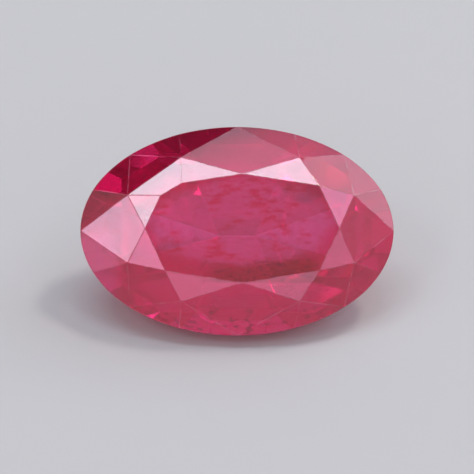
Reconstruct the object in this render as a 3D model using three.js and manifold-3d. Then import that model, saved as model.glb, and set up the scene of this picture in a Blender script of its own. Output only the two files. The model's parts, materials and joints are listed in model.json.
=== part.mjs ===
// A cut ruby: one loose oval gemstone, lying table up on a facet of its pavilion.
//
// The crown is brilliant cut: a table, 8 stars, 8 mains and 16 halves, with one extra facet
// where the cutter took off a corner of the table. The pavilion is step cut, in three rows that
// close on a short keel. Each facet is one flat cut through an oval block, and the cuts are laid
// out as a gem cutter does it, from the points where facets meet.
//
// While it is cut, the stone stands upright: X runs along its length, Y across its width, Z up
// through the table, and Z = 0 halfway up the girdle. Sizes are in millimetres, angles in degrees.
import * as THREE from "three";
import { mergeVertices } from "three/addons/utils/BufferGeometryUtils.js";
import Module from "manifold-3d";

const wasm = await Module();
wasm.setup();

// Outline and girdle
const LENGTH = 9.0;
const WIDTH = 6.0;
const GIRDLE_THICKNESS = 0.24;
const GIRDLE_SIDES = 128;

// Crown. The table is an octagon: two corners at its ends, two at its sides and four between.
// Each lies above the middle of a main.
const CROWN_HEIGHT = 0.9;
const TABLE_HALF_LENGTH = 2.78;
const TABLE_HALF_WIDTH = 1.56;
const TABLE_CORNER = { x: 2.2, y: 1.22 };
const TABLE_OFF_CENTRE = 0.15; // towards +X, as it often is on a stone cut by hand
const CORNER_AZIMUTH = 58; // the way the four mains between the ends and sides face
const END_STAR_REACH = 0.27; // how far down the mains a star's tip comes, as a share of them
const SIDE_STAR_REACH = 0.35;
const EXTRA_FACET_REACH = 0.2; // how far it comes into the table from the corner that it cuts

// Pavilion. Each row of steps runs from one oval level down to the next, and the last is the keel.
const UPPER_STEP = { inset: 0.2, endInset: 0.2, slope: 60 };
const MIDDLE_STEP = { inset: 0.7, endInset: 0.85, slope: 50 };
const LOWER_SLOPE = 42;
const KEEL_HALF_LENGTH = 0.5;

const SURFACE = { color: 0xb94469, roughness: 0.05, metalness: 0 };

const radians = THREE.MathUtils.degToRad;

// An oval level of the stone: its half length, half width and height.
const level = (halfLength, halfWidth, z) => ({ halfLength, halfWidth, z });

// The oval below another, set in from its ends and sides, with a slope between them at the sides.
function levelBelow({ halfLength, halfWidth, z }, { inset, endInset, slope }) {
  return level(halfLength - endInset, halfWidth - inset, z - inset * Math.tan(radians(slope)));
}

const tableHeight = GIRDLE_THICKNESS / 2 + CROWN_HEIGHT;
const girdleTop = level(LENGTH / 2, WIDTH / 2, GIRDLE_THICKNESS / 2);
const girdleBottom = level(LENGTH / 2, WIDTH / 2, -GIRDLE_THICKNESS / 2);
const upperStepEnd = levelBelow(girdleBottom, UPPER_STEP);
const middleStepEnd = levelBelow(upperStepEnd, MIDDLE_STEP);
const keel = levelBelow(middleStepEnd, {
  inset: middleStepEnd.halfWidth,
  endInset: middleStepEnd.halfLength - KEEL_HALF_LENGTH,
  slope: LOWER_SLOPE,
});

// How far out the edge of a level that faces an azimuth lies from the middle.
function reach({ halfLength, halfWidth }, azimuth) {
  return Math.hypot(halfLength * Math.cos(azimuth), halfWidth * Math.sin(azimuth));
}

// The point of a level whose edge faces an azimuth.
function pointFacing(oval, azimuth) {
  const out = reach(oval, azimuth);
  return new THREE.Vector3(
    (oval.halfLength ** 2 * Math.cos(azimuth)) / out,
    (oval.halfWidth ** 2 * Math.sin(azimuth)) / out,
    oval.z,
  );
}

// The azimuth that the edge of a level faces at one of its points.
function azimuthAt(oval, point) {
  return Math.atan2(point.y / oval.halfWidth ** 2, point.x / oval.halfLength ** 2);
}

// The point of a level halfway round from one of its points to the next.
function pointBetween(oval, from, to) {
  const turn = (point) => Math.atan2(point.y / oval.halfWidth, point.x / oval.halfLength);
  const span = THREE.MathUtils.euclideanModulo(turn(to) - turn(from), 2 * Math.PI);
  const middle = turn(from) + span / 2;
  return new THREE.Vector3(
    oval.halfLength * Math.cos(middle),
    oval.halfWidth * Math.sin(middle),
    oval.z,
  );
}

// The flat cut through three points, facing away from the middle of the stone.
function cutThrough(a, b, c) {
  const plane = new THREE.Plane().setFromCoplanarPoints(a, b, c);
  return plane.constant > 0 ? plane.negate() : plane;
}

// The cut that faces an azimuth and passes through two points, one above the other.
function cutFacing(azimuth, upper, lower) {
  const along = new THREE.Vector3(-Math.sin(azimuth), Math.cos(azimuth), 0);
  return cutThrough(upper, lower, lower.clone().add(along));
}

// The point at a height where two cuts meet.
function meetingPoint(first, second, z) {
  const [m, n] = [first.normal, second.normal];
  const rows = new THREE.Matrix3().set(m.x, m.y, m.z, n.x, n.y, n.z, 0, 0, 1);
  return new THREE.Vector3(-first.constant, -second.constant, z).applyMatrix3(rows.invert());
}

// Mains, in order round the stone from its +X end

const BACK_LEFT_MAIN = 3;
const turned = radians(CORNER_AZIMUTH);
const mainAzimuths = [0, 0.5, 1, 1.5].flatMap((halfTurns) => {
  const quarter = halfTurns * Math.PI;
  const atEnd = halfTurns % 1 === 0;
  return [quarter, quarter + (atEnd ? turned : Math.PI / 2 - turned)];
});
const isEnd = (index) => index % 4 === 0;
const isSide = (index) => index % 4 === 2;

function tableCorner(azimuth, index) {
  const [halfLength, halfWidth] = [
    isEnd(index) ? TABLE_HALF_LENGTH : TABLE_CORNER.x,
    isSide(index) ? TABLE_HALF_WIDTH : TABLE_CORNER.y,
  ];
  const x = isSide(index) ? 0 : Math.sign(Math.cos(azimuth)) * halfLength;
  const y = isEnd(index) ? 0 : Math.sign(Math.sin(azimuth)) * halfWidth;
  return new THREE.Vector3(x + TABLE_OFF_CENTRE, y, tableHeight);
}

// Crown cuts

function crownCuts() {
  const corners = mainAzimuths.map(tableCorner);
  const feet = mainAzimuths.map((azimuth) => pointFacing(girdleTop, azimuth));
  const mains = mainAzimuths.map((azimuth, i) => cutFacing(azimuth, corners[i], feet[i]));
  const after = (list, i) => list[(i + 1) % list.length];

  const starTips = mains.map((main, i) => {
    const share = isEnd(i) || isEnd(i + 1) ? END_STAR_REACH : SIDE_STAR_REACH;
    return meetingPoint(main, after(mains, i), tableHeight - share * CROWN_HEIGHT);
  });
  const stars = starTips.map((tip, i) => cutThrough(corners[i], after(corners, i), tip));
  const halves = starTips.flatMap((tip, i) => {
    const middle = pointBetween(girdleTop, feet[i], after(feet, i));
    return [cutThrough(tip, feet[i], middle), cutThrough(tip, middle, after(feet, i))];
  });

  const corner = corners[BACK_LEFT_MAIN];
  const tableCentre = new THREE.Vector3(TABLE_OFF_CENTRE, 0, tableHeight);
  const inward = tableCentre.sub(corner).setLength(EXTRA_FACET_REACH);
  const [before, behind] = [starTips[BACK_LEFT_MAIN - 1], starTips[BACK_LEFT_MAIN]];
  const extraFacet = cutThrough(corner.clone().add(inward), before, behind);

  return [...mains, ...stars, ...halves, extraFacet];
}

// Pavilion cuts

// One row of steps: a cut for each azimuth, from the level above to the level below.
function stepCuts(above, below, azimuths) {
  return azimuths.map((azimuth) => {
    const [upper, lower] = [above, below].map((oval) => {
      const out = reach(oval, azimuth);
      return new THREE.Vector3(out * Math.cos(azimuth), out * Math.sin(azimuth), oval.z);
    });
    return cutFacing(azimuth, upper, lower);
  });
}

// The azimuths of the mains, with one more between each two of them.
function azimuthsOfSixteen() {
  const feet = mainAzimuths.map((azimuth) => pointFacing(girdleTop, azimuth));
  return feet.flatMap((foot, i) => {
    const between = pointBetween(girdleTop, foot, feet[(i + 1) % feet.length]);
    return [azimuthAt(girdleTop, foot), azimuthAt(girdleTop, between)];
  });
}

function pavilionCuts() {
  const sixteen = azimuthsOfSixteen();
  return [
    ...stepCuts(girdleBottom, upperStepEnd, sixteen),
    ...stepCuts(upperStepEnd, middleStepEnd, sixteen),
    ...stepCuts(middleStepEnd, keel, mainAzimuths),
  ];
}

// The stone

// An upright oval block from the keel to the table, as a closed solid.
function block() {
  const geometry = new THREE.CylinderGeometry(1, 1, tableHeight - keel.z, GIRDLE_SIDES)
    .rotateX(Math.PI / 2)
    .scale(LENGTH / 2, WIDTH / 2, 1)
    .translate(0, 0, (tableHeight + keel.z) / 2)
    .deleteAttribute("normal")
    .deleteAttribute("uv");
  const merged = mergeVertices(geometry);
  const mesh = new wasm.Mesh({
    numProp: 3,
    vertProperties: merged.attributes.position.array,
    triVerts: new Uint32Array(merged.index.array),
  });
  return new wasm.Manifold(mesh);
}

function cutStone() {
  let stone = block();
  for (const cut of [...crownCuts(), ...pavilionCuts()]) {
    const inward = cut.normal.clone().negate();
    stone = stone.trimByPlane(inward.toArray(), cut.constant);
  }
  const { vertProperties, triVerts, numProp } = stone.getMesh();
  return new THREE.BufferGeometry()
    .setAttribute("position", new THREE.BufferAttribute(vertProperties, numProp))
    .setIndex(new THREE.BufferAttribute(triVerts, 1));
}

// Tips the stone towards -Y until the lowest step on that side lies flat at Z = 0, with the
// middle of its box on the Z axis.
function layAtRest(stone) {
  stone.rotation.x = radians(LOWER_SLOPE);
  const box = new THREE.Box3().setFromObject(stone, true);
  const middle = box.getCenter(new THREE.Vector3());
  stone.position.set(-middle.x, -middle.y, -box.min.z);
}

const ruby = new THREE.Mesh(cutStone(), new THREE.MeshStandardMaterial(SURFACE));
ruby.name = "ruby";
layAtRest(ruby);

const gemstone = new THREE.Group();
gemstone.add(ruby);

export default gemstone;
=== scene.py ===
# %% [markdown]
# # An oval ruby, cut and polished
#
# One loose gemstone, 9 mm long, lies on a pale table top and leans on a facet of its
# underside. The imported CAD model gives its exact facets. This script adds what the eye reads as
# stone: worn facet junctions, a matt girdle, polish marks and a clear red body.

import json
import math

import bmesh
import bpy
from mathutils import Matrix, Vector


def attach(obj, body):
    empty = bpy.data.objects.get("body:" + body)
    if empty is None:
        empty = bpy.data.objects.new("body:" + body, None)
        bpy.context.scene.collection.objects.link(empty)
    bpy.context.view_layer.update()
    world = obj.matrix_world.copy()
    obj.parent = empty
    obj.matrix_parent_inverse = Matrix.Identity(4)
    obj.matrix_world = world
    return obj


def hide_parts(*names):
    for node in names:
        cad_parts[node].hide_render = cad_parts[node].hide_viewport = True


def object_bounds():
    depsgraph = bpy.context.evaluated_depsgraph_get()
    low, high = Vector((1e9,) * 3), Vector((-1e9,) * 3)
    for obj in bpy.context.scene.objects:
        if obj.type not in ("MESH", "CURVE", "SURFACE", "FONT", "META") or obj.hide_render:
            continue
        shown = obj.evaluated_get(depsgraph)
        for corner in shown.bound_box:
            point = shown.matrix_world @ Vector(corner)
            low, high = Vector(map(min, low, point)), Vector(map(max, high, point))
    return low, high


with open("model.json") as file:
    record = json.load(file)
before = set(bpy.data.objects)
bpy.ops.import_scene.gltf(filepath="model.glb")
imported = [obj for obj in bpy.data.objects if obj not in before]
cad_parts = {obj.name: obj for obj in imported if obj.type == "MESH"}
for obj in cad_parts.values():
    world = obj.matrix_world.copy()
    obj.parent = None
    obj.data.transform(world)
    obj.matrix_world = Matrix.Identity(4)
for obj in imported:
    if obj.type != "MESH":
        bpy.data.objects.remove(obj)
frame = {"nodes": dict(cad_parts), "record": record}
cad_low, cad_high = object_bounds()
MM = 0.001
scene = bpy.context.scene
print("CAD box in mm:", [round(side / MM, 3) for side in cad_high - cad_low])

# %% [markdown]
# ## The stone's own axes
#
# The stone leans, so its facets don't lie square to the world. A gem cutter thinks in the
# stone's own axes: along its length, across its width, and up through the table. The record
# states the table as a mount, with a point on it and the way it faces, so the axes are read
# from there rather than typed in again. Polish marks and the girdle's band are both laid out
# in these axes later on.

# %% Read the stone's axes from the table's mount
mounts = {mount["name"]: mount for mount in frame["record"]["mounts"]}
table_normal = Vector(mounts["table"]["axis"]).normalized()
length_axis = Vector((1, 0, 0))
width_axis = table_normal.cross(length_axis)
table_point = Vector(mounts["table"]["pos_m"])
lean = math.degrees(table_normal.angle(Vector((0, 0, 1))))
print(f"the table leans {lean:.1f} degrees from level")

# %% [markdown]
# ## The camera
#
# The photograph looks down at about 43 degrees, nearly square on to the table, and from far
# enough away that the outline keeps its true proportions. A long lens gives that flat view.
# The camera is aimed at the middle of the stone, and its distance follows from how much of
# the picture's width the stone should fill.

# %% Place the camera
VIEW_ELEVATION = 43.3
FIELD_OF_VIEW = 4.0
SENSOR_WIDTH = 36
SHARE_OF_WIDTH = 0.66
AIM_BELOW_MIDDLE = 0.15 * MM

middle = (cad_low + cad_high) / 2
elevation = math.radians(VIEW_ELEVATION)
towards_camera = Vector((0, -math.cos(elevation), math.sin(elevation)))
picture_width = (cad_high.x - cad_low.x) / SHARE_OF_WIDTH
distance = picture_width / 2 / math.tan(math.radians(FIELD_OF_VIEW) / 2)

camera_data = bpy.data.cameras.new("camera")
camera_data.sensor_width = SENSOR_WIDTH
camera_data.angle = math.radians(FIELD_OF_VIEW)
camera_data.clip_start = distance / 100
camera_data.clip_end = distance * 10
camera = bpy.data.objects.new("camera", camera_data)
scene.collection.objects.link(camera)
camera.location = middle + towards_camera * distance - Vector((0, 0, AIM_BELOW_MIDDLE))
camera.rotation_euler = (-towards_camera).to_track_quat("-Z", "Y").to_euler()
scene.camera = camera
print(f"camera {distance * 1000:.0f} mm away")

# %% [markdown]
# ## The stone's mesh
#
# The real stone is one crystal with flat facets, so the CAD solid already has the right shape.
# What it lacks is wear. On a real stone no facet junction is perfectly sharp: the polishing lap
# rounds it by a few hundredths of a millimetre, and that narrow round catches the light as a
# fine line. The mesh could be kept and the line faked in the material, but a true bevel also
# bends what is seen through it, so the junctions are bevelled.
#
# The work is done in millimetres, because bmesh operators have small built-in tolerances that
# are too coarse for a stone measured in metres. Dissolving the flat triangles first leaves one
# face per facet, which is what a bevel needs.

# %% Copy the solid and make one face per facet
MERGE_DISTANCE = 0.002
FLAT_ANGLE = math.radians(0.3)

stone_mesh = bmesh.new()
stone_mesh.from_mesh(frame["nodes"]["ruby"].data)
bmesh.ops.scale(stone_mesh, vec=Vector((1, 1, 1)) / MM, verts=stone_mesh.verts)
bmesh.ops.remove_doubles(stone_mesh, verts=stone_mesh.verts, dist=MERGE_DISTANCE)
bmesh.ops.dissolve_limit(
    stone_mesh,
    angle_limit=FLAT_ANGLE,
    verts=stone_mesh.verts,
    edges=stone_mesh.edges,
)
print(f"{len(stone_mesh.faces)} flat faces, {len(stone_mesh.edges)} edges")

# %% [markdown]
# Where a facet's corner falls almost on a corner of the girdle, an edge of a few thousandths of
# a millimetre is left. A bevel would fold over it. The operator's clamp avoids that, but it
# shrinks every bevel of the stone to fit the shortest edge, until none can be seen. So the
# edges that are too short are closed first, and the bevel runs without the clamp.

# %% Close the shortest edges
SHORTEST_EDGE = 0.03

edges_before = len(stone_mesh.edges)
bmesh.ops.remove_doubles(stone_mesh, verts=stone_mesh.verts, dist=SHORTEST_EDGE)
print(f"{edges_before - len(stone_mesh.edges)} short edges closed")

# %% [markdown]
# The girdle is the thin band round the widest part of the stone. It is ground, not polished, so
# the material has to find it. Its faces stand square to the table, and are marked by that before
# the bevel adds faces of every slope. The corners between two girdle faces aren't bevelled: on
# the real stone the band is ground round, and has no junctions there to wear.

# %% Mark the girdle's faces
GIRDLE_LEAN = math.radians(6)


def is_girdle(face):
    return abs(face.normal.angle(table_normal) - math.pi / 2) < GIRDLE_LEAN


stone_mesh.faces.layers.float.new("girdle")
stone_mesh.faces.layers.float.new("junction")
girdle_layer = stone_mesh.faces.layers.float["girdle"]
junction_layer = stone_mesh.faces.layers.float["junction"]
for face in stone_mesh.faces:
    face[girdle_layer] = 1.0 if is_girdle(face) else 0.0
print(f"{sum(map(is_girdle, stone_mesh.faces))} girdle faces")

# %% Bevel the facet junctions
JUNCTION_WIDTH = 0.013
JUNCTION_ANGLE = math.radians(4)


def is_junction(edge):
    """Whether two facets meet here, or a facet and the girdle, rather than two girdle faces."""
    within_girdle = all(face[girdle_layer] for face in edge.link_faces)
    return edge.calc_face_angle(0) > JUNCTION_ANGLE and not within_girdle


junctions = [edge for edge in stone_mesh.edges if is_junction(edge)]
bevelled = bmesh.ops.bevel(
    stone_mesh,
    geom=junctions,
    offset=JUNCTION_WIDTH,
    offset_type="OFFSET",
    affect="EDGES",
    segments=2,
    profile=0.5,
    material=-1,
    clamp_overlap=False,
)
for face in bevelled["faces"]:
    face[junction_layer] = 1.0
worn_area = sum(face.calc_area() for face in bevelled["faces"])
print(f"{len(junctions)} junctions bevelled, {worn_area:.1f} square mm of worn strips")

# %% [markdown]
# ### A map for the polish lines
#
# A facet is polished by holding it still on a turning lap, so its polish lines all run one way,
# and the way differs from facet to facet. Object coordinates can't follow that. A UV map can:
# each face is laid flat in millimetres, turned to the direction in which it was polished. The
# direction is taken from the way the facet faces, so that all faces of one facet agree.

# %% Lay each face flat along its polish direction
FACETS_TO_HALF_A_TURN = 16
NEARLY_LEVEL = 0.02
FIRST_TURN = 35
TURN_STEP = 29
DIFFERENT_TURNS = 5


def polish_axes(normal):
    """Two directions in a facet: along its polish lines, and across them."""
    level = table_normal.cross(normal)
    if level.length < NEARLY_LEVEL:
        level = width_axis.copy()
    level.normalize()
    place_round = level.angle(length_axis) / math.pi * FACETS_TO_HALF_A_TURN
    steps = round(place_round) % DIFFERENT_TURNS
    turn = math.radians(FIRST_TURN + TURN_STEP * steps)
    along = Matrix.Rotation(turn, 3, normal) @ level
    return along, normal.cross(along)


polish_layer = stone_mesh.loops.layers.uv.new("polish")
for face in stone_mesh.faces:
    along, across = polish_axes(face.normal)
    for loop in face.loops:
        loop[polish_layer].uv = (loop.vert.co.dot(along), loop.vert.co.dot(across))
print("polish map laid on", len(stone_mesh.faces), "faces")

# %% Turn the mesh into a piece


def object_from(mesh, name):
    """An object that holds a finished bmesh, at the origin of the scene."""
    data = bpy.data.meshes.new(name)
    mesh.to_mesh(data)
    mesh.free()
    made = bpy.data.objects.new(name, data)
    scene.collection.objects.link(made)
    return made


bmesh.ops.scale(stone_mesh, vec=Vector((1, 1, 1)) * MM, verts=stone_mesh.verts)
bmesh.ops.recalc_face_normals(stone_mesh, faces=stone_mesh.faces)
stone = object_from(stone_mesh, "ruby_stone")
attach(stone, "root")
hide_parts("ruby")
print("stone:", len(stone.data.polygons), "faces")

# %% [markdown]
# ## The ruby's material
#
# A ruby of this grade isn't as clear as glass. Fine silk and small flaws make it a little
# milky, and its red is uneven. Three settings carry that. Transmission Weight lets four fifths
# of the light through and leaves the rest to scatter at the surface, as the milk does. IOR is
# that of corundum, 1.77, whose reflections are nearly twice as strong as those of window glass.
# Volume Absorption takes out green and some blue on the way through, so that thick parts are a
# deeper red than thin ones. A Subsurface body was the other way to make the milk, but it hides
# the facets of the underside, and the exported model drops it.

# %% Helpers for node materials


def new_material(name):
    """A material with its Principled shader and output."""
    material = bpy.data.materials.new(name)
    material.use_nodes = True
    nodes = material.node_tree.nodes
    return material, nodes["Principled BSDF"], nodes["Material Output"]


def link(material, source, target):
    material.node_tree.links.new(source, target)


def noise(material, vector, size, detail):
    """A noise whose blobs have the given size, in the units of the vector that it reads."""
    node = material.node_tree.nodes.new("ShaderNodeTexNoise")
    node.inputs["Scale"].default_value = 1 / size
    node.inputs["Detail"].default_value = detail
    link(material, vector, node.inputs["Vector"])
    return node.outputs["Fac"]


def stretch(material, vector, scale):
    """A vector scaled along its three axes, so that a noise on it turns into streaks."""
    node = material.node_tree.nodes.new("ShaderNodeMapping")
    node.inputs["Scale"].default_value = scale
    link(material, vector, node.inputs["Vector"])
    return node.outputs["Vector"]


def times_plus(material, value, factor, plus):
    """A value times a factor, plus a number or another value."""
    node = material.node_tree.nodes.new("ShaderNodeMath")
    node.operation = "MULTIPLY_ADD"
    link(material, value, node.inputs[0])
    node.inputs[1].default_value = factor
    if isinstance(plus, (int, float)):
        node.inputs[2].default_value = plus
    else:
        link(material, plus, node.inputs[2])
    return node.outputs["Value"]


def face_mask(material, name):
    """The mask of a named face attribute."""
    node = material.node_tree.nodes.new("ShaderNodeAttribute")
    node.attribute_name = name
    return node.outputs["Fac"]


# %% A clear red body
CORUNDUM_IOR = 1.766
CLEARNESS = 0.8
PASSED_COLOUR = (0.97, 0.5, 0.7, 1)
ABSORPTION_DENSITY = 240

ruby, body, ruby_output = new_material("ruby")
body.inputs["IOR"].default_value = CORUNDUM_IOR
body.inputs["Transmission Weight"].default_value = CLEARNESS
absorption = ruby.node_tree.nodes.new("ShaderNodeVolumeAbsorption")
absorption.inputs["Color"].default_value = PASSED_COLOUR
absorption.inputs["Density"].default_value = ABSORPTION_DENSITY
link(ruby, absorption.outputs["Volume"], ruby_output.inputs["Volume"])
stone.data.materials.append(ruby)
print(f"index of refraction {CORUNDUM_IOR}, {CLEARNESS:.0%} clear")

# %% [markdown]
# ### Uneven colour
#
# The photograph's table is blotched in red and pink, in patches about a millimetre across with
# finer streaks along the stone. They are taken for clouds and silk just under the surface. They
# could be modelled as flakes inside the stone, but from outside they only tint what comes
# through a facet. So two noises on Object coordinates, one of them drawn out along the stone,
# mix the red with the pink.
#
# An oval core, a little smaller than the table, keeps the blotched colour. The rim round it is
# painted a deeper red, and the back left deeper still: both are painted shade, where the facets
# send less light back up. These are smooth changes across the stone, measured in the plane of the
# table.

# %% Clouds and silk in the base colour
CLOUD_SIZE = 0.9 * MM
SILK_SIZE = 0.16 * MM
SILK_STRETCH = (0.4, 1, 1)
RED_UP_TO = 0.8
PINK_FROM = 1.2
RED = (0.92, 0.016, 0.16, 1)
PINK = (0.98, 0.12, 0.42, 1)


def ramp(material, value, start, end, from_colour, to_colour):
    """A colour that runs from one to another while a value runs from start to end."""
    node = material.node_tree.nodes.new("ShaderNodeValToRGB")
    first, last = node.color_ramp.elements
    first.position, first.color = start, from_colour
    last.position, last.color = end, to_colour
    link(material, value, node.inputs["Fac"])
    return node.outputs["Color"]


on_stone = ruby.node_tree.nodes.new("ShaderNodeTexCoord").outputs["Object"]
clouds = noise(ruby, on_stone, CLOUD_SIZE, detail=6)
silk = noise(ruby, stretch(ruby, on_stone, SILK_STRETCH), SILK_SIZE, detail=5)
blotches = times_plus(ruby, silk, 1, clouds)
blotched = ramp(ruby, blotches, RED_UP_TO, PINK_FROM, RED, PINK)
print(f"clouds of {CLOUD_SIZE / MM} mm, silk of {SILK_SIZE / MM} mm")

# %% An oval core, painted shade on its rim and at the back left
CORE_HALF_LENGTH = 2.75 * MM
CORE_HALF_WIDTH = 1.35 * MM
CORE_SHIFT = 0.15 * MM
CORE_RAGGEDNESS = 0.5
RIM_FADE = (1.1, 1.3)
BACK_LEFT_SHADE_FADE = (1.6 * MM, 2.8 * MM)
BACK_SHARE = 0.85
LEFT_SHARE = 0.5
# The rim and back-left colours are painted shade, laid into the base colour.
RIM_SHADE = (0.94, 0.012, 0.19, 1)
BACK_LEFT_SHADE = (0.44, 0.018, 0.085, 1)


def distance_along(material, vector, direction, start):
    """How far a point lies beyond a starting point, along a direction and scaled by its length."""
    dot = material.node_tree.nodes.new("ShaderNodeVectorMath")
    dot.operation = "DOT_PRODUCT"
    link(material, vector, dot.inputs[0])
    dot.inputs[1].default_value = direction
    return times_plus(material, dot.outputs["Value"], 1, -start.dot(direction))


def rise(material, value, start, end):
    """A mask that rises smoothly from 0 to 1 while a value runs from start to end, up or down."""
    node = material.node_tree.nodes.new("ShaderNodeMapRange")
    node.interpolation_type = "SMOOTHSTEP"
    node.inputs["From Min"].default_value = start
    node.inputs["From Max"].default_value = end
    link(material, value, node.inputs["Value"])
    return node.outputs["Result"]


def product(material, first, second):
    """Two masks multiplied, so that only their common part is left."""
    node = material.node_tree.nodes.new("ShaderNodeMath")
    node.operation = "MULTIPLY"
    link(material, first, node.inputs[0])
    link(material, second, node.inputs[1])
    return node.outputs["Value"]


def tint(material, mask, below, colour):
    """A colour laid over the one below it, as far as a mask goes."""
    node = material.node_tree.nodes.new("ShaderNodeMix")
    node.data_type = "RGBA"
    link(material, mask, node.inputs["Factor"])
    link(material, below, node.inputs["A"])
    node.inputs["B"].default_value = colour
    return node.outputs["Result"]


core_centre = table_point + width_axis * CORE_SHIFT
across_core = ruby.node_tree.nodes.new("ShaderNodeCombineXYZ")
lengthwise = distance_along(ruby, on_stone, length_axis / CORE_HALF_LENGTH, core_centre)
widthwise = distance_along(ruby, on_stone, width_axis / CORE_HALF_WIDTH, core_centre)
link(ruby, lengthwise, across_core.inputs["X"])
link(ruby, widthwise, across_core.inputs["Y"])
from_core = ruby.node_tree.nodes.new("ShaderNodeVectorMath")
from_core.operation = "LENGTH"
link(ruby, across_core.outputs["Vector"], from_core.inputs[0])
core_edge = times_plus(ruby, clouds, CORE_RAGGEDNESS, from_core.outputs["Value"])
# Painted shade: a deeper red round the core.
with_rim_shade = tint(ruby, rise(ruby, core_edge, *RIM_FADE), blotched, RIM_SHADE)

back_left = (width_axis * BACK_SHARE - length_axis * LEFT_SHARE).normalized()
towards_back_left = distance_along(ruby, on_stone, back_left, middle)
# Painted shade: the back left is painted a deeper red still, where its facets mirror dark.
with_back_left_shade = tint(ruby, rise(ruby, towards_back_left, *BACK_LEFT_SHADE_FADE), with_rim_shade, BACK_LEFT_SHADE)
core_size = [round(2 * half / MM, 2) for half in (CORE_HALF_LENGTH, CORE_HALF_WIDTH)]
print("oval core in mm:", core_size)

# %% [markdown]
# ### Painted shade: a dark crescent at the front of the table
#
# Between the oval core and the table's front edge lies a dark crescent, deepest right of the
# middle. The facets in front of the stars are a deeper red too. Both are places where the stone
# sends less light back up. That depends on the cut of its underside, which the photograph
# doesn't show, so the shade is painted into the base colour, by how far a place lies in front of
# the core's centre. The front of the left end is the other way about: painted light makes it a
# clearer pink.
#
# Each mask has a fade: the two distances, in front or to the right of the core's centre, between
# which it rises from nothing to full. Where the second is the smaller, the mask falls instead.
# The fades at the core's own edge are shares of its half length and half width.

# %% Painted shade in the crescent and at the front edge, painted light at the pink left end
TABLE_FRONT_FADE = (1.74 * MM, 1.66 * MM)
CRESCENT_BACK_FADE = (0.8 * MM, 1.2 * MM)
CRESCENT_LEFT_FADE = (-1.6 * MM, -0.4 * MM)
CRESCENT_RIGHT_FADE = (2.4 * MM, 1.9 * MM)
CRESCENT_CORE_FADE = (0.95, 1.2)
FRONT_FADE = (2.15 * MM, 2.65 * MM)
PINK_LEFT_FADE = (-3.4 * MM, -3.8 * MM)
PINK_BACK_FADE = (0.1 * MM, 0.5 * MM)
# The crescent and front colours are painted shade, the pink end colour painted light.
CRESCENT_SHADE = (0.5, 0.005, 0.055, 1)
FRONT_SHADE = (0.86, 0.01, 0.16, 1)
PINK_END_LIGHT = (1, 0.11, 0.42, 1)

towards_front = distance_along(ruby, on_stone, -width_axis, core_centre)
towards_right = distance_along(ruby, on_stone, length_axis, core_centre)
on_table = rise(ruby, towards_front, *TABLE_FRONT_FADE)
crescent = product(ruby, rise(ruby, towards_front, *CRESCENT_BACK_FADE), on_table)
crescent = product(ruby, crescent, rise(ruby, towards_right, *CRESCENT_LEFT_FADE))
crescent = product(ruby, crescent, rise(ruby, towards_right, *CRESCENT_RIGHT_FADE))
crescent = product(ruby, crescent, rise(ruby, core_edge, *CRESCENT_CORE_FADE))
# Painted shade: the crescent is painted a deeper red.
with_crescent = tint(ruby, crescent, with_back_left_shade, CRESCENT_SHADE)

# Painted shade: the front edge is painted a deeper red.
front_shade = rise(ruby, towards_front, *FRONT_FADE)
with_front = tint(ruby, front_shade, with_crescent, FRONT_SHADE)

# Painted light: the front of the left end is painted a clearer pink.
left_end = rise(ruby, towards_right, *PINK_LEFT_FADE)
front_of_left_end = product(ruby, left_end, rise(ruby, towards_front, *PINK_BACK_FADE))
with_painted_light_and_shade = tint(ruby, front_of_left_end, with_front, PINK_END_LIGHT)
print(f"crescent up to {min(TABLE_FRONT_FADE) / MM:.2f} mm in front of the core's centre")

# %% [markdown]
# ### Specks and worn junctions
#
# Along the front of the table the photograph is grainy, with dark red specks on the red. They
# are made by a fine noise of which only the peaks are kept, and taken for small inclusions that
# reach the surface. The painted shade of the crescent and the front edge holds them there, clear
# of the pink stars between, so they are also grains of painted shade. The worn junctions are
# slightly frosted, which makes them paler than the facets beside them. A noise breaks up that
# pale line, because wear comes in nicks rather than evenly.

# %% Dark specks in the painted shade at the front, pale wear on the junctions
SPECK_SIZE = 0.14 * MM
SPECK_STRETCH = (0.6, 1, 1)
SPECK_PEAKS = (0.54, 0.64)
WEAR_SIZE = 0.35 * MM
WEAR_PATCHES = (0.35, 0.65)
SPECK = (0.3, 0.004, 0.045, 1)
WORN = (0.96, 0.4, 0.6, 1)

# The specks are laid only within the painted shade of the crescent and the front edge.
painted_shade_for_specks = times_plus(ruby, crescent, 1, front_shade)
specks = noise(ruby, stretch(ruby, on_stone, SPECK_STRETCH), SPECK_SIZE, detail=3)
speck_mask = product(ruby, rise(ruby, specks, *SPECK_PEAKS), painted_shade_for_specks)
specked = tint(ruby, speck_mask, with_painted_light_and_shade, SPECK)

junction = face_mask(ruby, "junction")
wear = rise(ruby, noise(ruby, on_stone, WEAR_SIZE, detail=3), *WEAR_PATCHES)
worn = tint(ruby, product(ruby, junction, wear), specked, WORN)
link(ruby, worn, body.inputs["Base Color"])
print(f"specks of {SPECK_SIZE / MM} mm, nicks of {WEAR_SIZE / MM} mm")

# %% [markdown]
# ### Gloss and polish
#
# The facets are polished, the girdle is only ground, and the junctions between facets are worn.
# One material covers the whole stone, because a clear body with a second material on part of
# its skin loses count of where its volume begins and ends. The three finishes are told apart by
# the face attributes that were set on the mesh.
#
# Polish is never perfect. The lap leaves a facet slightly domed, and draws fine lines across it
# in one direction. Both are far too fine to model, so a Bump node makes them: a broad noise for
# the dome, and a noise on the polish map, drawn out along the lap's direction, for the lines.

# %% Roughness of facets, girdle and junctions
FACET_ROUGHNESS = 0.035
GIRDLE_ROUGHNESS = 0.45
JUNCTION_ROUGHNESS = 0.2
SMEAR_SIZE = 2.5 * MM
SMEAR_STRENGTH = 0.03

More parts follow.
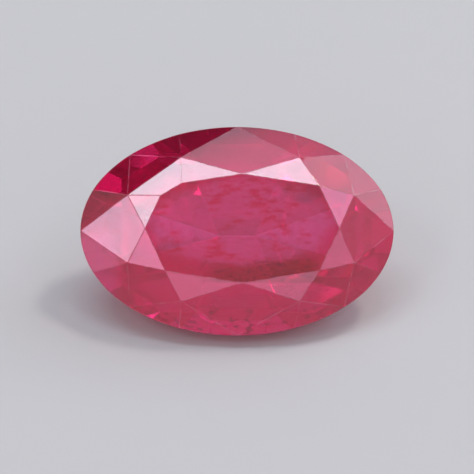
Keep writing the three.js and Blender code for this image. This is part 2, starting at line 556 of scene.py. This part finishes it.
girdle = face_mask(ruby, "girdle")
smears = noise(ruby, on_stone, SMEAR_SIZE, detail=2)
roughness = times_plus(ruby, smears, SMEAR_STRENGTH, FACET_ROUGHNESS - SMEAR_STRENGTH / 2)
roughness = times_plus(ruby, junction, JUNCTION_ROUGHNESS - FACET_ROUGHNESS, roughness)
roughness = times_plus(ruby, girdle, GIRDLE_ROUGHNESS - FACET_ROUGHNESS, roughness)
link(ruby, roughness, body.inputs["Roughness"])
print("roughness:", FACET_ROUGHNESS, "on facets,", JUNCTION_ROUGHNESS, "on junctions")

# %% Bumps for the dome, the polish lines and the ground girdle
DOME_SIZE = 0.8 * MM
DOME_HEIGHT = 0.001 * MM
LINE_SPACING_ON_MAP = 0.05
LINE_STRETCH = (0.06, 1, 1)
LINE_HEIGHT = 0.0002 * MM
GRAIN_SIZE = 0.05 * MM
GRAIN_HEIGHT = 0.008 * MM


def bump(material, height, distance, below=None):
    """A Bump node of full strength, over the one below it if there is one."""
    node = material.node_tree.nodes.new("ShaderNodeBump")
    node.inputs["Strength"].default_value = 1
    node.inputs["Distance"].default_value = distance
    link(material, height, node.inputs["Height"])
    if below:
        link(material, below, node.inputs["Normal"])
    return node.outputs["Normal"]


polish_map = ruby.node_tree.nodes.new("ShaderNodeUVMap")
polish_map.uv_map = "polish"
along_lines = stretch(ruby, polish_map.outputs["UV"], LINE_STRETCH)
lines = noise(ruby, along_lines, LINE_SPACING_ON_MAP, detail=2)
normal = bump(ruby, noise(ruby, on_stone, DOME_SIZE, detail=1), DOME_HEIGHT)
normal = bump(ruby, lines, LINE_HEIGHT, below=normal)
grain = product(ruby, noise(ruby, on_stone, GRAIN_SIZE, detail=2), girdle)
normal = bump(ruby, grain, GRAIN_HEIGHT, below=normal)
link(ruby, normal, body.inputs["Normal"])
print(len(ruby.node_tree.nodes), "nodes in the ruby's material")

# %% [markdown]
# ## Floor, world and lights
#
# The stone lies on a plain, pale, matt table top: a wide disc whose edge stays out of sight from
# above. The lights stand near the stone, so the floor would fall off to a dark band in a low
# view. It is therefore painted paler far away, a painted light that makes up for that falloff,
# and the world is a little paler at the horizon.
#
# The floor lies four thousandths of a millimetre under the stone. If it touched, the stone's
# lowest facet and the floor would share one plane, and the light would leave the stone there
# straight into the floor. On a real table a film of air stays between the two, and it is this
# film that makes the facet mirror the light back up.

# %% Floor
FLOOR_RADIUS = 0.5
FLOOR_SEGMENTS = 96
FLOOR_GAP = 0.004 * MM
FLOOR_ROUGHNESS = 0.9
FLOOR_TONE = 0.52
FAR_TONE = 0.95
PALER_FROM = 0.06
PALEST_AT = 0.36


def grey(tone):
    return (tone, tone, tone, 1)


floor_mesh = bmesh.new()
bmesh.ops.create_circle(
    floor_mesh,
    cap_ends=True,
    radius=FLOOR_RADIUS,
    segments=FLOOR_SEGMENTS,
)
bmesh.ops.translate(floor_mesh, vec=Vector((0, 0, -FLOOR_GAP)), verts=floor_mesh.verts)
floor = object_from(floor_mesh, "floor")

pale, pale_shader, _ = new_material("pale_floor")
pale_shader.inputs["Roughness"].default_value = FLOOR_ROUGHNESS
on_floor = pale.node_tree.nodes.new("ShaderNodeTexCoord").outputs["Object"]
from_stone = pale.node_tree.nodes.new("ShaderNodeVectorMath")
from_stone.operation = "LENGTH"
link(pale, on_floor, from_stone.inputs[0])
# Painted light: the floor is painted paler far from the stone.
tone = ramp(
    pale,
    from_stone.outputs["Value"],
    PALER_FROM,
    PALEST_AT,
    grey(FLOOR_TONE),
    grey(FAR_TONE),
)
link(pale, tone, pale_shader.inputs["Base Color"])
floor.data.materials.append(pale)
print(f"floor: {2 * FLOOR_RADIUS:.0f} m across, {FLOOR_GAP / MM} mm under the stone")

# %% World
WORLD_TONE = 0.5
HORIZON_COLOUR = (0.6, 0.6, 0.63, 1)
HORIZON_HEIGHT = 0.12

world = bpy.data.worlds.new("studio")
world.use_nodes = True
scene.world = world
sky = world.node_tree.nodes.new("ShaderNodeTexCoord").outputs["Generated"]
height = world.node_tree.nodes.new("ShaderNodeSeparateXYZ")
link(world, sky, height.inputs["Vector"])
backdrop = ramp(
    world,
    height.outputs["Z"],
    0,
    HORIZON_HEIGHT,
    HORIZON_COLOUR,
    grey(WORLD_TONE),
)
link(world, backdrop, world.node_tree.nodes["Background"].inputs["Color"])
print("world:", WORLD_TONE, "above,", HORIZON_COLOUR[0], "at the horizon")

# %% [markdown]
# ### Lights, placed facet by facet
#
# A cut stone shows its facets only by what they mirror. Each facet of the crown sends the
# camera's view off in one direction, and what hangs there gives the facet its tone. In the
# photograph a white band runs over the left main, three stars and the extra facet at the back
# left of the table. Three narrow soft lights hang where those facets look. Weaker ones, most of
# them lilac or rose, stand where the pink facets look. The key hangs behind and to the right,
# where no facet of the crown mirrors it into the camera, and lights the table top and the inside
# of the stone.
#
# One wide softbox would be simpler, but it would whiten all the facets of the back at once. The
# lights' tints nearly cancel out on the floor, so that it stays almost neutral.
#
# Each light is given by what the stone sees of it: the azimuth and height at which its band
# starts and ends, its breadth, all in degrees, its radiance and its tint.

# %% Soft lights, placed as bands of the sky
LIGHT_DISTANCE = 0.3
COOL = (0.86, 1.0, 1.15)
LILAC = (1.12, 0.86, 1.14)
ROSE = (1.4, 0.8, 1.25)
WARM = (1.1, 1.02, 0.92)


def sky_direction(azimuth, height_angle):
    """A direction seen from the stone. Azimuth 0 is +X and 90 is +Y."""
    a, e = math.radians(azimuth), math.radians(height_angle)
    return Vector((math.cos(a) * math.cos(e), math.sin(a) * math.cos(e), math.sin(e)))


def soft_band(name, start, end, breadth, radiance, colour):
    """A flat light that the stone sees as a band from one direction of the sky to another."""
    first, last = sky_direction(*start), sky_direction(*end)
    away = (first + last).normalized()
    along = (last - first).normalized()
    data = bpy.data.lights.new(name, "AREA")
    data.shape = "RECTANGLE"
    data.size = 2 * LIGHT_DISTANCE * math.tan(first.angle(last) / 2)
    data.size_y = 2 * LIGHT_DISTANCE * math.tan(math.radians(breadth) / 2)
    data.energy = radiance * math.pi * data.size * data.size_y
    data.color = colour
    lamp = bpy.data.objects.new(name, data)
    scene.collection.objects.link(lamp)
    lamp.location = middle + away * LIGHT_DISTANCE
    axes = Matrix((along, away.cross(along), away)).transposed()
    lamp.rotation_euler = axes.to_euler()
    print(f"{name}: {data.size * 100:.0f} by {data.size_y * 100:.0f} cm")


soft_band("left_main", (203, 27.5), (203.8, 31.5), 6, 4.4, LILAC)
soft_band("left_end_star", (214, 50), (218, 60), 8, 6.6, COOL)
soft_band("back_stars", (164, 61), (34, 75), 8, 7.2, COOL)
soft_band("back_right", (6, 18), (50, 48), 34, 1.8, COOL)
soft_band("back_halves", (60, 34), (84, 48), 9, 0.5, LILAC)
soft_band("back_main", (90, 57), (90, 69), 14, 1.3, LILAC)
soft_band("front_left_star", (236, 30), (236, 39), 9, 2.6, ROSE)
soft_band("right_end_star", (326, 50), (332, 60), 9, 2.9, ROSE)
soft_band("front_right_star", (306, 28), (306, 36), 9, 1.3, ROSE)
soft_band("right_main", (342, 20), (342, 30), 9, 0.35, LILAC)
soft_band("front_stars", (250, 8), (290, 8), 12, 1.2, ROSE)
soft_band("left_half", (200, 11), (214, 11), 9, 0.7, LILAC)
soft_band("key", (34, 56), (34, 64), 8, 32, WARM)

# %% [markdown]
# ### A dark card for the back left
#
# The facets at the back left are the darkest red of the photograph, which means that they mirror
# something dark. A white room gives them only a grey veil. Photographers put a black card beside
# a gem for this, so one hangs where those four facets look: three halves and the main among
# them.

# %% A black card behind the stone
CARD_LENGTH = 0.23
CARD_HEIGHT = 0.115
CARD_AZIMUTH = 124
CARD_HEIGHT_ANGLE = 47
CARD_TONE = 0.01

card_mesh = bmesh.new()
bmesh.ops.create_grid(card_mesh, x_segments=1, y_segments=1, size=0.5)
bmesh.ops.scale(card_mesh, vec=Vector((CARD_LENGTH, CARD_HEIGHT, 1)), verts=card_mesh.verts)
away = sky_direction(CARD_AZIMUTH, CARD_HEIGHT_ANGLE)
along = Vector((0, 0, 1)).cross(away).normalized()
card_axes = Matrix((along, away.cross(along), away)).transposed()
bmesh.ops.rotate(card_mesh, matrix=card_axes, verts=card_mesh.verts)
bmesh.ops.translate(card_mesh, vec=middle + away * LIGHT_DISTANCE, verts=card_mesh.verts)
card = object_from(card_mesh, "dark_card")
matt_black, black_shader, _ = new_material("matt_black")
black_shader.inputs["Base Color"].default_value = grey(CARD_TONE)
black_shader.inputs["Roughness"].default_value = 1
card.data.materials.append(matt_black)
print(f"dark card: {CARD_LENGTH * 100:.0f} by {CARD_HEIGHT * 100:.1f} cm")

# %% [markdown]
# ## Colour and light paths
#
# The tones were matched with the Standard view transform, which shows a red as it is, where a
# filmic one would wash out the ruby. A ray can cross a cut stone many times before it leaves, so
# it is given 24 bounces: with the usual few, deep parts of the stone turn black. The tabulated
# sampling pattern is chosen because the default one leaves a fine weave on the bright facets.

# %% Render settings of the look
BOUNCES = 24
MIRROR_BOUNCES = 12
BRIGHTEST_INDIRECT = 10

scene.view_settings.view_transform = "Standard"
scene.cycles.use_denoising = True
scene.cycles.sampling_pattern = "TABULATED_SOBOL"
scene.cycles.max_bounces = BOUNCES
scene.cycles.transmission_bounces = BOUNCES
scene.cycles.glossy_bounces = MIRROR_BOUNCES
scene.cycles.sample_clamp_indirect = BRIGHTEST_INDIRECT
print("up to", BOUNCES, "bounces inside the stone")
